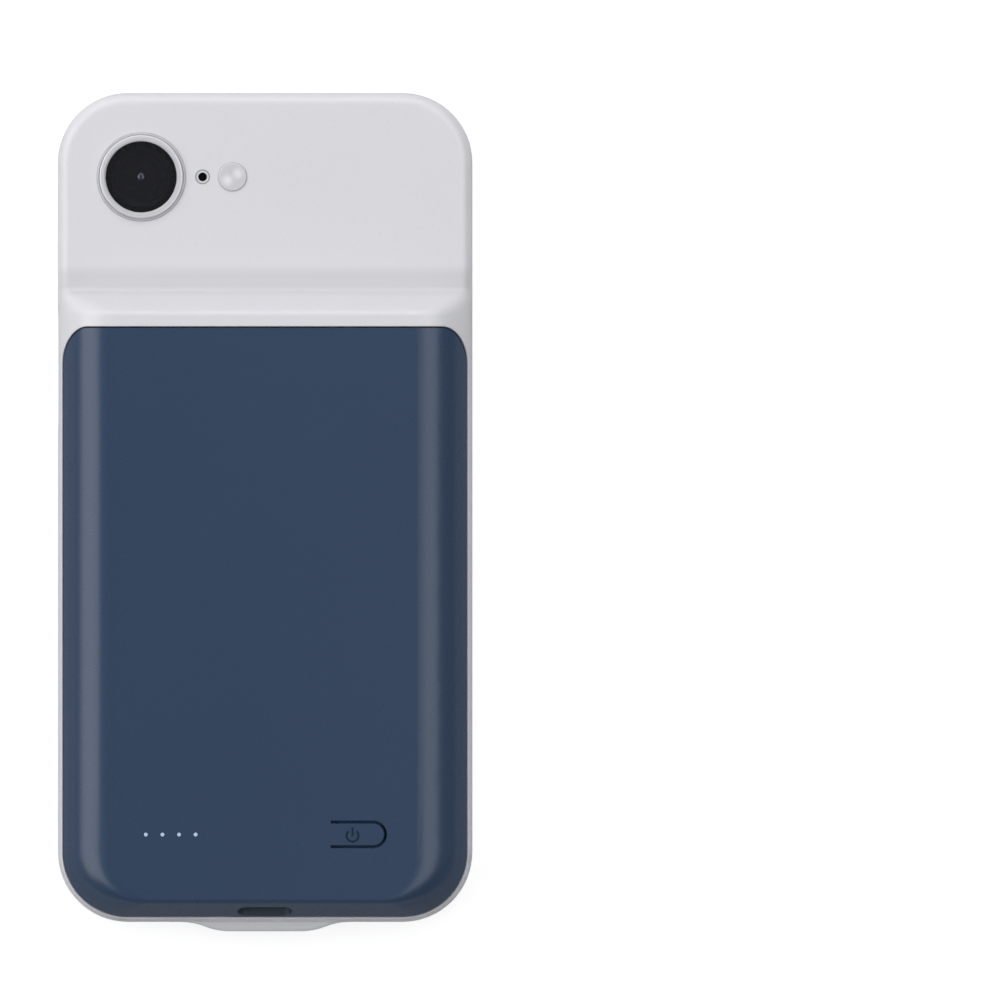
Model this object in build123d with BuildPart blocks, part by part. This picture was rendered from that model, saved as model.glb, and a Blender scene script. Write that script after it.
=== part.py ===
from build123d import *
import math
import os

# Battery charging case, lying on its open front with its back up.
# Millimetres. X to the right as seen from the back, Y to the top of the phone, Z out of the back.

# Phone that the case holds
phone_width = 71.5
phone_length = 146.7
phone_thickness = 7.8
phone_corner = 11.0
phone_gap = 0.15            # clearance to each wall

# Frame walls
side_wall = 1.6
end_wall = 1.5
lip_height = 1.3
lip_overhang = 1.6
lip_lean = 22               # slope of the lip's inner edge, in degrees
panel_thickness = 1.4
panel_edge = 2.2            # rounding of the back edge round the camera panel
front_edge = 1.0

# Chin that holds the phone plug
chin_drop = 1.7
chin_flat = 13.0
chin_width = 30.6
chin_low = 1.4
chin_high = 8.0
chin_edge = 0.6
chin_skin = 0.8
chin_roof = 0.6

# Battery hump
ledge_thickness = 0.8       # frame shelf that the cover stands on
ledge_width = 4.2
hump_height = 6.8           # from the shelf to the flat of the cover
hump_length = 107.45        # from the bottom of the frame to the seam under the ramp
shoulder_radius = 10.0
rim = 1.05                  # frame left showing round the cover
rim_rounding = 0.2          # of its thin edge along the seam
seam = 0.06
top_seam = 0.25             # wider gap above the cover
facet_lean = 0.47           # run over rise of the cover's bottom face
crease_radius = 1.0
flat_corner = 7.5
seam_corner_width = 4.4     # upper corners of the cover, across and along the case
seam_corner_length = 6.8
cover_wall = 1.2
shoulder_steps = 10

# Ramp from the camera panel up to the hump
ramp_band = 2.1             # level strip between the seam and the crest
ramp_angle = 58
ramp_foot_radius = 1.2
ramp_crest_radius = 1.5
ramp_steps = 4              # cross-sections round each of its two bends
core_wall = 1.5             # skin left over the hollows under the ramp
core_bays = 6
core_rib = 1.2

# Camera, microphone hole and flash, from the middle and top of the frame
camera_x = -22.4
camera_drop = 15.2
bezel_diameter = 15.9
bezel_step = 0.3            # height of its outer step above the panel
crown_diameter = 15.1
crown_groove = 0.14         # groove between the step and the crown
crown_groove_depth = 0.35
bezel_proud = 0.8
bezel_seat = 0.6            # frame left under the bezel and the flash
bezel_floor = 0.6           # bezel left under the glass
seat_width = 0.8
window_diameter = 12.9
window_thickness = 0.7
crown_rounding = 0.25
crown_bevel = 0.3           # inner edge of the crown, over the glass
step_rounding = 0.1
bezel_gap = 0.08
flash_gap = 0.03
microphone_x = -11.3
microphone_diameter = 1.6
microphone_ring = 2.5       # shallow step round the hole
microphone_ring_depth = 0.15
flash_x = -5.9
flash_diameter = 5.2
flash_proud = 0.3
eyelet_gap = 0.1            # round the flat ring that lies in the step

# Openings in the walls: middle below the top of the frame, and length
side_key_drop = 33.0
side_key_length = 9.4
action_key_drop = 31.0
action_key_length = 8.0
volume_keys_drop = 50.0
volume_keys_length = 22.0
key_height = 5.2
key_bevel = 0.6
bevel_angle = 45            # from the face that is bevelled
sound_slot_x = 22.0
sound_slot_length = 9.0
sound_slot_height = 2.2

# Charge lights and power button, from the middle and bottom of the frame
control_rise = 15.9
light_x = -17.0             # middle of the row
light_pitch = 3.0
light_count = 4
light_diameter = 0.7
guide_height = 1.5
guide_width = 2.4
guide_foot = 1.4
guide_gap = 0.2             # from each lamp to the guide over it
button_root_x = 11.9
button_length = 9.7
button_width = 4.0
button_slot = 0.45
slot_bevel = 0.12
button_web = 0.6
button_groove = 1.2
button_post_reach = 6.6     # from the root to the post
button_post = 2.0
seal_wall = 0.8             # wall under the cover that carries the dust seal
seal_depth = 0.55
seal_thickness = 0.1
seal_play = 0.5             # round the post

# Floor of the battery bay
fit_gap = 0.1
plate_gap = 0.15            # from the cover's wall to the plate
flange_height = 0.8
flange_lap = 0.9
tab_reach = 0.45
tab_length = 5.0
tab_height = 0.4
tab_rise = 0.5
tab_pitch = 30.0
tab_count = 3
stake_spread = 47.0
stake_collar = 4.0
stake_pin = 1.8
stake_head = 3.0
stake_head_height = 0.5

# Main board and the parts on it
board_thickness = 0.8
board_width = 54.0
board_length = 15.5
board_corner = 4.0
board_gap = 0.75            # from the cover's wall to the board
port_width = 8.94
port_height = 3.2
port_length = 7.3
port_metal = 0.3
port_opening_width = 10.0
port_opening_height = 3.5
liner_gap = 0.03            # from the opening to the sleeve that lines it
liner_wall = 0.14
liner_setback = 0.03        # behind the cover's bottom face
liner_end_gap = 0.05        # to the port
port_tongue_width = 6.7
port_tongue_height = 0.7
port_tongue_recess = 1.0
port_back = 1.3
switch_size = 5.0
switch_height = 1.5
switch_bore_depth = 0.8
plunger_diameter = 2.6
plunger_rise = 0.5
plunger_depth = 0.4
plunger_gap = 0.05          # from the button's post to the plunger
plunger_play = 0.25         # round the plunger in its bore
lamp_length = 1.6
lamp_width = 0.8
lamp_height = 0.6
chip_height = 0.9
charge_chip_size = 5.0
boost_chip_size = 4.0
chip_pitch = 8.0
inductor_size = 6.0
inductor_height = 2.6
inductor_corner = 1.2
parts_rise = 7.0            # row of chips above the bottom of the board
capacitor_length = 2.0
capacitor_width = 1.25
capacitor_height = 1.0
capacitor_count = 3
capacitor_pitch = 2.4

# Battery cell
cell_width = 58.0
cell_end_gap = 2.05         # from the plate's flange to the cell
cell_thickness = 5.0
cell_corner = 3.0
cell_edge = 1.2
cell_board_gap = 2.3
terrace_length = 4.0
terrace_margin = 4.0
terrace_thickness = 1.4
tape_thickness = 0.2
tape_width = 12.0
tape_margin = 4.0
foam_margin = 12.0
protection_width = 24.0
protection_margin = 0.3
lead_diameter = 1.0
lead_spread = 6.0
lead_landing = 2.0          # length of each lead on its board

# Plug that goes into the phone, and the board and ribbon behind it
plug_width = 8.25
plug_height = 2.4
plug_reach = 6.65
plug_metal = 0.3
plug_mouth_width = 6.8
plug_mouth_height = 0.8
plug_mouth_depth = 5.6
plug_skin = 0.55            # frame wall between plug board and phone
plug_board_width = 18.0
ribbon_width = 11.0
ribbon_thickness = 0.15
ribbon_room = 0.4           # depth of its groove in the shelf
ribbon_bend = 0.4
ribbon_overlap = 0.8        # length on each board
ribbon_run = 1.8            # level stretch under the cover
ribbon_climb = 1.4          # stretch over which it rises to the main board

# Frame sizes that follow
cavity_width = phone_width + 2 * phone_gap
cavity_length = phone_length + 2 * phone_gap
cavity_corner = phone_corner + phone_gap
frame_width = cavity_width + 2 * side_wall
frame_length = cavity_length + 2 * end_wall
frame_corner = cavity_corner + end_wall
frame_y = chin_drop / 2
frame_top = frame_y + frame_length / 2
frame_bottom = frame_y - frame_length / 2
cavity_bottom = frame_bottom + end_wall
floor_z = lip_height + phone_thickness + phone_gap
phone_mid_z = lip_height + phone_thickness / 2
panel_z = floor_z + panel_thickness
camera_y = frame_top - camera_drop
seat_z = floor_z + bezel_seat

# Hump and ramp sizes that follow
ledge_z = floor_z + ledge_thickness
back_z = ledge_z + hump_height
inner_z = back_z - cover_wall
shoulder_z = back_z - shoulder_radius
flat_half = frame_width / 2 - shoulder_radius
facet_z = shoulder_z + math.sqrt(shoulder_radius ** 2 - (shoulder_radius - rim) ** 2)
seam_y = frame_bottom + hump_length
crest_y = seam_y + ramp_band
slope = math.radians(ramp_angle)
ramp_bends = (ramp_foot_radius + ramp_crest_radius) * math.tan(slope / 2)
foot_y = crest_y + ramp_bends + (back_z - panel_z) / math.tan(slope)
control_y = frame_bottom + control_rise
light_places = [(light_x + (i - (light_count - 1) / 2) * light_pitch, control_y)
                for i in range(light_count)]
flange_half = frame_width / 2 - rim - cover_wall - plate_gap

# Board and cell sizes that follow
board_z = ledge_z + flange_height
board_top = board_z + board_thickness
board_bottom_y = frame_bottom + rim + cover_wall + board_gap
board_end_y = board_bottom_y + board_length
stake_y = board_bottom_y + board_length / 2
port_z = board_top + port_height / 2
plunger_top = board_top + switch_height + plunger_rise
switch_x = button_root_x + button_post_reach
cell_z = ledge_z + tape_thickness
terrace_y = board_end_y + cell_board_gap
cell_y = terrace_y + terrace_length
cell_length = seam_y - ledge_width - flange_lap - cell_end_gap - cell_y
protection_z = cell_z + terrace_thickness
protection_top = protection_z + board_thickness
plug_face_y = cavity_bottom - plug_skin
plug_board_y = plug_face_y - fit_gap
ribbon_y = plug_board_y + ribbon_thickness / 2
ribbon_z = ledge_z - ribbon_room / 2
pocket_low = chin_low + chin_skin
pocket_high = chin_high - chin_roof
pocket_depth = plug_face_y - (frame_bottom - chin_drop + chin_skin)


def frame_outline():
    """Plan of the frame."""
    with Locations((0, frame_y)):
        RectangleRounded(frame_width, frame_length, frame_corner)


def cut_across(y, side):
    """Takes away the sketch on one side of a line across the frame."""
    with Locations((0, y)):
        Rectangle(2 * frame_width, 2 * frame_length, align=(Align.CENTER, side), mode=Mode.SUBTRACT)


def ramp_stations():
    """Places along the ramp, from foot to crest, with its height at each."""
    turns = [slope * step / ramp_steps for step in range(ramp_steps + 1)]
    foot = [(foot_y - ramp_foot_radius * math.sin(turn),
             panel_z + ramp_foot_radius * (1 - math.cos(turn))) for turn in turns]
    crest = [(crest_y + ramp_crest_radius * math.sin(turn),
              back_z - ramp_crest_radius * (1 - math.cos(turn))) for turn in reversed(turns)]
    return foot + crest


def ramp_section(height):
    """Cross-section of the ramp, whose upper corners open out as it climbs."""
    climb = (height - panel_z) / (back_z - panel_z)
    Rectangle(frame_width, height, align=(Align.CENTER, Align.MIN))
    fillet(vertices().group_by(Axis.Y)[-1], panel_edge + climb * (shoulder_radius - panel_edge))
    fillet(vertices().group_by(Axis.Y)[0], front_edge)


def cover_outline(half, top, inset, low_half, low):
    """Line round the cover: elliptical corners above, and straight sides down to two corners below."""
    across = max(seam_corner_width - inset, fit_gap)
    along = max(seam_corner_length - inset, fit_gap)
    EllipticalCenterArc((half - across, top - along), across, along, 0, arc_size=90)
    Line((half - across, top), (across - half, top))
    EllipticalCenterArc((across - half, top - along), across, along, 90, arc_size=90)
    Polyline((-half, top - along), (-low_half, low), (low_half, low), (half, top - along))


def cover_plan(inset, above=0):
    """Plan of the cover at the seam, drawn in by an even margin, with more room above it."""
    margin = rim + inset
    half = frame_width / 2 - margin
    with BuildLine() as outline:
        cover_outline(half, seam_y - inset + above, inset, half, frame_bottom + margin)
    make_face(outline.edges())
    fillet(vertices().group_by(Axis.Y)[0], max(frame_corner - margin, fit_gap))


def cover_section(turn, first_turn, wall):
    """Plan of the cover where its rolled shoulder has a given slope."""
    roll = shoulder_radius - wall
    rise = roll * (math.cos(turn) - math.cos(first_turn))
    top = roll * (1 - math.cos(first_turn))
    inset = rise * facet_lean
    crease = max(crease_radius - wall, 0)
    lean = math.atan(facet_lean)
    above = rise - top + crease
    if crease and above > crease * math.sin(lean):
        centre = top * facet_lean + crease * math.tan(math.pi / 4 - lean / 2)
        inset = centre - math.sqrt(max(crease ** 2 - above ** 2, 0))
    share = math.sin(turn) / math.sin(first_turn)
    corner = share * (frame_corner - rim) + (1 - share) * flat_corner - wall
    with Locations((0, seam_y - wall)):
        Rectangle(2 * (flat_half + roll * math.sin(turn)), hump_length - rim - 2 * wall - inset,
                  align=(Align.CENTER, Align.MAX))
    fillet(vertices().group_by(Axis.Y)[0], corner)


def cover_form(wall):
    """Outside of the cover, or its hollow when a wall is taken off."""
    roll = shoulder_radius - wall
    first_turn = math.asin((roll - rim) / roll)
    base = shoulder_z + roll * math.cos(first_turn)
    side = flat_half + roll - rim
    with BuildPart() as form:
        for step in range(shoulder_steps + 1):
            turn = first_turn * (1 - step / shoulder_steps)
            with BuildSketch(Plane.XY.offset(shoulder_z + roll * math.cos(turn))):
                cover_section(turn, first_turn, wall)
        loft()
        with BuildSketch(Plane.XY.offset(base)):
            with BuildLine():
                cover_outline(side, seam_y - wall, wall, frame_width, -frame_length)
            make_face()
        extrude(amount=shoulder_radius, mode=Mode.INTERSECT)
        with BuildSketch(Plane.XY.offset(ledge_z)):
            cover_plan(wall)
        extrude(amount=base - ledge_z)
    return form.part


def button_plan(grow):
    """Plan of the button's tongue, or of the slot round it."""
    straight = button_length - button_width / 2
    with Locations((button_root_x, control_y)):
        Rectangle(straight, button_width + 2 * grow, align=(Align.MIN, Align.CENTER))
    with Locations((button_root_x + straight, control_y)):
        Circle(button_width / 2 + grow)


def seal_plan(grow):
    """Plan of the space under the button, closed at its root too."""
    button_plan(button_slot + grow)
    with Locations((button_root_x, control_y)):
        Rectangle(grow, button_width + 2 * (button_slot + grow), align=(Align.MAX, Align.CENTER))


def key_windows(*middles, grow=0):
    """Outlines of the openings over the keys, each given by its drop from the top and its length."""
    for drop, length in middles:
        with Locations((frame_top - drop, phone_mid_z)):
            SlotOverall(length + 2 * grow, key_height + 2 * grow)


def snap_tabs(clearance):
    """Size and places of the tabs that hold the plate in the cover."""
    middle = (2 * frame_bottom + rim + hump_length) / 2
    with Locations((0, middle, ledge_z + tab_rise)):
        with GridLocations(2 * flange_half, tab_pitch, 2, tab_count):
            Box(2 * (tab_reach + clearance), tab_length + 2 * clearance, tab_height + 2 * clearance,
                mode=Mode.SUBTRACT if clearance else Mode.ADD)


# Chin, rounded before it joins the frame
with BuildPart() as chin:
    with BuildSketch(Plane.XY.offset(chin_low)):
        with BuildLine():
            bend = TangentArc((chin_width / 2, frame_bottom),
                              ((chin_width + chin_flat) / 4, frame_bottom - chin_drop / 2),
                              tangent=(-1, 0))
            TangentArc(bend @ 1, (chin_flat / 2, frame_bottom - chin_drop), tangent=bend % 1)
            Line((chin_flat / 2, frame_bottom - chin_drop), (0, frame_bottom - chin_drop))
            Polyline((chin_width / 2, frame_bottom), (chin_width / 2, plug_face_y), (0, plug_face_y))
            mirror(about=Plane.YZ)
        make_face()
    extrude(amount=chin_high - chin_low)
    flat_edges = edges().group_by(Axis.Z)[0] + edges().group_by(Axis.Z)[-1]
    fillet(flat_edges.filter_by(lambda edge: edge.center().Y < frame_bottom), chin_edge)

# Frame: camera panel, hump and ramp, then everything that is hollowed out of them
with BuildPart() as frame_shell:
    with BuildSketch():
        frame_outline()
        cut_across(foot_y, Align.MAX)
    extrude(amount=panel_z)
    fillet(faces().sort_by(Axis.Z)[-1].edges().sort_by(Axis.Y)[1:], panel_edge)
    fillet(faces().sort_by(Axis.Z)[0].edges().sort_by(Axis.Y)[1:], front_edge)
    with BuildSketch():
        frame_outline()
        cut_across(crest_y, Align.MIN)
    extrude(amount=back_z)
    fillet(faces().sort_by(Axis.Z)[-1].edges().sort_by(Axis.Y)[:-1], shoulder_radius)
    hump_front = faces().filter_by(Axis.Z).group_by(Axis.Z)[0].sort_by(Axis.Y)[0]
    fillet(hump_front.edges().sort_by(Axis.Y)[:-1], front_edge)
    for place, height in ramp_stations():
        with BuildSketch(Plane.XZ.offset(-place)):
            ramp_section(height)
    loft()
    add(chin.part)

    # Room for the phone, and the lip that holds it in
    with BuildSketch(Plane.XY.offset(lip_height)):
        with Locations((0, frame_y)):
            RectangleRounded(cavity_width, cavity_length, cavity_corner)
    extrude(amount=floor_z - lip_height, mode=Mode.SUBTRACT)
    with BuildSketch(Plane.XY.offset(lip_height)):
        with Locations((0, frame_y)):
            RectangleRounded(cavity_width - 2 * lip_overhang, cavity_length - 2 * lip_overhang,
                             cavity_corner - lip_overhang)
    extrude(amount=-lip_height, taper=-lip_lean, mode=Mode.SUBTRACT)

    # Seat for the cover, and the opening inside the shelf
    with BuildSketch(Plane.XY.offset(ledge_z)):
        cover_plan(-seam, top_seam - seam)
    extrude(amount=2 * hump_height, mode=Mode.SUBTRACT)
    rim_edges = edges(Select.LAST).filter_by(lambda edge: edge.bounding_box().min.Z > ledge_z + fit_gap)
    fillet(rim_edges, rim_rounding)
    with BuildSketch(Plane.XY.offset(floor_z)):
        cover_plan(ledge_width)
    extrude(amount=ledge_thickness, mode=Mode.SUBTRACT)

    # Ribbed hollows under the ramp
    slope_y = crest_y + ramp_crest_radius * math.sin(slope)
    slope_z = back_z - ramp_crest_radius * (1 - math.cos(slope)) - core_wall / math.cos(slope)
    core_y = seam_y + top_seam + core_wall
    core_top = slope_z + (slope_y - core_y) * math.tan(slope)
    core_end = slope_y + (slope_z - floor_z) / math.tan(slope)
    bay = (2 * flat_half - (core_bays - 1) * core_rib) / core_bays
    bay_planes = [Plane.YZ.offset(i * (bay + core_rib) - flat_half) for i in range(core_bays)]
    with BuildSketch(*bay_planes):
        with BuildLine():
            Polyline((core_y, floor_z), (core_y, core_top), (core_end, floor_z), close=True)
        make_face()
    extrude(amount=bay, mode=Mode.SUBTRACT)

    # Seats for the camera bezel and the flash, and the microphone hole
    with Locations((camera_x, camera_y, panel_z)):
        CounterBoreHole(bezel_diameter / 2 - seat_width, bezel_diameter / 2 + bezel_gap,
                        panel_thickness - bezel_seat, panel_thickness)
    with Locations((flash_x, camera_y, panel_z)):
        CounterBoreHole(flash_diameter / 2 - seat_width, flash_diameter / 2 + flash_gap,
                        panel_thickness - bezel_seat, panel_thickness)
    with Locations((microphone_x, camera_y, panel_z)):
        CounterBoreHole(microphone_diameter / 2, microphone_ring / 2, microphone_ring_depth,
                        panel_thickness)

    # Openings for the keys and the sound
    right_keys = [(side_key_drop, side_key_length)]
    left_keys = [(action_key_drop, action_key_length), (volume_keys_drop, volume_keys_length)]
    for side, keys in ((1, right_keys), (-1, left_keys)):
        with BuildSketch(Plane.YZ.offset(side * frame_width / 2)):
            key_windows(*keys)
        extrude(amount=-side * side_wall, mode=Mode.SUBTRACT)
        with BuildSketch(Plane.YZ.offset(side * frame_width / 2)):
            key_windows(*keys, grow=key_bevel)
        extrude(amount=-side * key_bevel, taper=bevel_angle, mode=Mode.SUBTRACT)
    with BuildSketch(Plane.XZ.offset(-cavity_bottom)):
        with Locations((-sound_slot_x, phone_mid_z), (sound_slot_x, phone_mid_z)):
            SlotOverall(sound_slot_length, sound_slot_height)
    extrude(amount=end_wall, mode=Mode.SUBTRACT)

    # Room in the chin for the plug board, the plug and the ribbon
    with BuildSketch(Plane.XZ.offset(-plug_face_y)):
        with Locations((0, pocket_low)):
            Rectangle(plug_board_width + 2 * fit_gap, pocket_high - pocket_low,
                      align=(Align.CENTER, Align.MIN))
    extrude(amount=pocket_depth, mode=Mode.SUBTRACT)
    with BuildSketch(Plane.XZ.offset(-cavity_bottom)):
        with Locations((0, phone_mid_z)):
            SlotOverall(plug_width + 2 * fit_gap, plug_height + 2 * fit_gap)
    extrude(amount=plug_skin, mode=Mode.SUBTRACT)
    with BuildSketch(Plane.YZ):
        with Locations((plug_board_y, pocket_high - ribbon_overlap)):
            Rectangle(ribbon_thickness + fit_gap, ledge_z - pocket_high + ribbon_overlap,
                      align=(Align.MIN, Align.MIN))
        with Locations((plug_board_y, ledge_z)):
            Rectangle(ledge_width + cover_wall, ribbon_room, align=(Align.MIN, Align.MAX))
    extrude(amount=ribbon_width / 2 + fit_gap, both=True, mode=Mode.SUBTRACT)

# Cover over the battery
with BuildPart() as battery_cover:
    add(cover_form(0))
    add(cover_form(cover_wall), mode=Mode.SUBTRACT)
    snap_tabs(fit_gap)
    with BuildSketch(Plane.XY.offset(inner_z)):
        with Locations(*light_places):
            Circle(light_diameter / 2 + fit_gap / 2)
    extrude(amount=cover_wall, mode=Mode.SUBTRACT)

    # Slot round the button, with a wall inside for the dust seal
    with BuildSketch(Plane.XY.offset(inner_z - seal_depth)):
        seal_plan(seal_wall)
    extrude(amount=seal_depth)
    with BuildSketch(Plane.XY.offset(inner_z - seal_depth)):
        button_plan(button_slot)
    extrude(amount=seal_depth + cover_wall, mode=Mode.SUBTRACT)
    with BuildSketch(Plane.XY.offset(back_z)):
        button_plan(button_slot + slot_bevel)
    extrude(amount=-slot_bevel, taper=bevel_angle, mode=Mode.SUBTRACT)

    # Opening over the charging port
    with BuildSketch(Plane.XZ.offset(-frame_bottom)):
        with Locations((0, port_z)):
            SlotOverall(port_opening_width, port_opening_height)
    extrude(amount=-shoulder_radius, mode=Mode.SUBTRACT)

# Power button: a tongue of the cover on a thin web, with a post over the switch and a seal round the post
with BuildPart() as power_button:
    with BuildSketch(Plane.XY.offset(inner_z)):
        button_plan(0)
    extrude(amount=cover_wall)
    with BuildSketch(Plane.XY.offset(inner_z)):
        with Locations((button_root_x, control_y)):
            Rectangle(button_groove, button_width, align=(Align.MIN, Align.CENTER))
    extrude(amount=cover_wall - button_web, mode=Mode.SUBTRACT)
    with BuildSketch(Plane.XY.offset(plunger_top + plunger_gap)):
        with Locations((switch_x, control_y)):
            Circle(button_post / 2)
    extrude(amount=inner_z - plunger_top - plunger_gap)
    chamfer(edges().group_by(Axis.Z)[-1].sort_by(Axis.X)[1:], slot_bevel)

with BuildPart() as button_seal:
    with BuildSketch(Plane.XY.offset(inner_z - seal_depth)):
        seal_plan(seal_wall)
        with Locations((switch_x, control_y)):
            Circle(button_post / 2 + seal_play, mode=Mode.SUBTRACT)
    extrude(amount=-seal_thickness)

# Floor of the battery bay, which fills the opening inside the shelf
with BuildPart() as inner_plate:
    with BuildSketch(Plane.XY.offset(ledge_z)):
        cover_plan(cover_wall + plate_gap)
    extrude(amount=flange_height)
    with BuildSketch(Plane.XY.offset(ledge_z)):
        cover_plan(ledge_width + flange_lap)
    extrude(amount=flange_height, mode=Mode.SUBTRACT)
    with BuildSketch(Plane.XY.offset(ledge_z)):
        with Locations((0, frame_bottom)):
            Rectangle(ribbon_width + 2 * fit_gap, 2 * (rim + ledge_width + flange_lap))
    extrude(amount=flange_height, mode=Mode.SUBTRACT)
    with BuildSketch(Plane.XY.offset(floor_z)):
        cover_plan(ledge_width + fit_gap)
    extrude(amount=ledge_thickness)
    snap_tabs(0)
    with BuildSketch(Plane.XY.offset(ledge_z)):
        with Locations((0, stake_y)):
            with GridLocations(stake_spread, 0, 2, 1):
                Circle(stake_collar / 2)
    extrude(amount=flange_height)
    with BuildSketch(Plane.XY.offset(board_z)):
        with Locations((0, stake_y)):
            with GridLocations(stake_spread, 0, 2, 1):
                Circle(stake_pin / 2)
    extrude(amount=board_thickness)
    with BuildSketch(Plane.XY.offset(board_top)):
        with Locations((0, stake_y)):
            with GridLocations(stake_spread, 0, 2, 1):
                Circle(stake_head / 2)
    extrude(amount=stake_head_height)

# Camera bezel, the glass in it, the flash lens and the microphone's eyelet
with BuildPart() as camera_bezel:
    with BuildSketch(Plane.XY.offset(seat_z)):
        with Locations((camera_x, camera_y)):
            Circle(bezel_diameter / 2)
    extrude(amount=panel_z + bezel_step - seat_z)
    fillet(edges().group_by(Axis.Z)[-1], step_rounding)
    with BuildSketch(Plane.XY.offset(panel_z + bezel_step)):
        with Locations((camera_x, camera_y)):
            Circle(crown_diameter / 2 + crown_groove)
    extrude(amount=-crown_groove_depth, mode=Mode.SUBTRACT)
    with BuildSketch(Plane.XY.offset(panel_z + bezel_step - crown_groove_depth)):
        with Locations((camera_x, camera_y)):
            Circle(crown_diameter / 2)
    extrude(amount=bezel_proud - bezel_step + crown_groove_depth)
    fillet(edges().group_by(Axis.Z)[-1], crown_rounding)
    with Locations((camera_x, camera_y, panel_z + bezel_proud)):
        CounterBoreHole(window_diameter / 2 - seat_width, window_diameter / 2,
                        panel_z + bezel_proud - seat_z - bezel_floor)
    chamfer(edges().group_by(Axis.Z)[-1].sort_by(SortBy.RADIUS)[0], crown_bevel)

with BuildPart() as camera_window:
    with BuildSketch(Plane.XY.offset(seat_z + bezel_floor)):
        with Locations((camera_x, camera_y)):
            Circle(window_diameter / 2)
    extrude(amount=window_thickness)

with BuildPart() as flash_window:
    with BuildSketch(Plane.XY.offset(seat_z)):
        with Locations((flash_x, camera_y)):
            Circle(flash_diameter / 2)
    extrude(amount=panel_z + flash_proud - seat_z)
    fillet(edges().group_by(Axis.Z)[-1], flash_proud)

with BuildPart() as microphone_eyelet:
    with BuildSketch(Plane.XY.offset(panel_z - microphone_ring_depth)):
        with Locations((microphone_x, camera_y)):
            Circle(microphone_ring / 2 - eyelet_gap)
            Circle(microphone_diameter / 2, mode=Mode.SUBTRACT)
    extrude(amount=microphone_ring_depth)

# Battery cell with the terrace that carries its protection board
with BuildPart() as battery_cell:
    with BuildSketch(Plane.XY.offset(cell_z)):
        with Locations((0, cell_y)):
            Rectangle(cell_width, cell_length, align=(Align.CENTER, Align.MIN))
        fillet(vertices(), cell_corner)
    extrude(amount=cell_thickness)
    fillet(edges().group_by(Axis.Z)[-1] + edges().group_by(Axis.Z)[0], cell_edge)
    with BuildSketch(Plane.XY.offset(cell_z)):
        with Locations((0, terrace_y)):
            Rectangle(cell_width - 2 * terrace_margin, terrace_length + cell_corner,
                      align=(Align.CENTER, Align.MIN))
    extrude(amount=terrace_thickness)

with BuildPart() as protection_board:
    with BuildSketch(Plane.XY.offset(protection_z)):
        with Locations((0, terrace_y + protection_margin)):
            Rectangle(protection_width, terrace_length - 2 * protection_margin,
                      align=(Align.CENTER, Align.MIN))
    extrude(amount=board_thickness)

with BuildPart() as cell_foam:
    with BuildSketch(Plane.XY.offset(cell_z + cell_thickness)):
        with Locations((0, cell_y + cell_length / 2)):
            Rectangle(cell_width - 2 * foam_margin, cell_length - 2 * foam_margin)
    extrude(amount=inner_z - cell_z - cell_thickness)

tapes = {}
for name, side in (("left", -1), ("right", 1)):
    with BuildPart() as tape:
        with BuildSketch(Plane.XY.offset(ledge_z)):
            with Locations((side * (cell_width - tape_width - 2 * tape_margin) / 2,
                            cell_y + cell_length / 2)):
                Rectangle(tape_width, cell_length - 2 * tape_margin)
        extrude(amount=tape_thickness)
    tapes[f"cell_tape_{name}"] = tape

# Leads from the protection board down to the main board
leads = {}
for name, side in (("positive", 1), ("negative", -1)):
    lead_high = protection_top + lead_diameter / 2
    lead_low = board_top + lead_diameter / 2
    lead_start = terrace_y + protection_margin + lead_landing
    with BuildPart() as lead:
        with BuildLine(Plane.YZ.offset(side * lead_spread / 2)) as route:
            FilletPolyline((lead_start, lead_high), (terrace_y, lead_high), (board_end_y, lead_low),
                           (board_end_y - lead_landing, lead_low), radius=lead_diameter)
        with BuildSketch(route.line ^ 0):
            Circle(lead_diameter / 2)
        sweep()
    leads[f"lead_{name}"] = lead

# Main board
with BuildPart() as main_board:
    with BuildSketch(Plane.XY.offset(board_z)):
        with Locations((0, board_bottom_y)):
            Rectangle(board_width, board_length, align=(Align.CENTER, Align.MIN))
        fillet(vertices().group_by(Axis.Y)[0], board_corner)
        with Locations((0, stake_y)):
            with GridLocations(stake_spread, 0, 2, 1):
                Circle(stake_pin / 2 + fit_gap, mode=Mode.SUBTRACT)
    extrude(amount=board_thickness)

# Charging port at the edge of the main board
with BuildPart() as usb_port_shell:
    with BuildSketch(Plane.XZ.offset(-board_bottom_y)):
        with Locations((0, port_z)):
            SlotOverall(port_width, port_height)
            SlotOverall(port_width - 2 * port_metal, port_height - 2 * port_metal, mode=Mode.SUBTRACT)
    extrude(amount=-port_length)

with BuildPart() as usb_port_tongue:
    with BuildSketch(Plane.XZ.offset(-(board_bottom_y + port_length - port_back))):
        with Locations((0, port_z)):
            SlotOverall(port_width - 2 * port_metal, port_height - 2 * port_metal)
    extrude(amount=-port_back)
    with BuildSketch(Plane.XZ.offset(-(board_bottom_y + port_tongue_recess))):
        with Locations((0, port_z)):
            Rectangle(port_tongue_width, port_tongue_height)
    extrude(amount=-(port_length - port_tongue_recess - port_back))

# Sleeve from the port to the bottom face of the cover, trimmed along that face
with BuildPart() as port_liner:
    liner_back = board_bottom_y - liner_end_gap
    with BuildSketch(Plane.XZ.offset(-liner_back)):
        with Locations((0, port_z)):
            SlotOverall(port_opening_width - 2 * liner_gap, port_opening_height - 2 * liner_gap)
            SlotOverall(port_opening_width - 2 * (liner_gap + liner_wall),
                        port_opening_height - 2 * (liner_gap + liner_wall), mode=Mode.SUBTRACT)
    extrude(amount=liner_back - frame_bottom)
    trim = Plane((0, frame_bottom + rim + liner_setback, facet_z), x_dir=(1, 0, 0), z_dir=(0, -1, facet_lean))
    split(bisect_by=trim, keep=Keep.BOTTOM)

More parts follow.
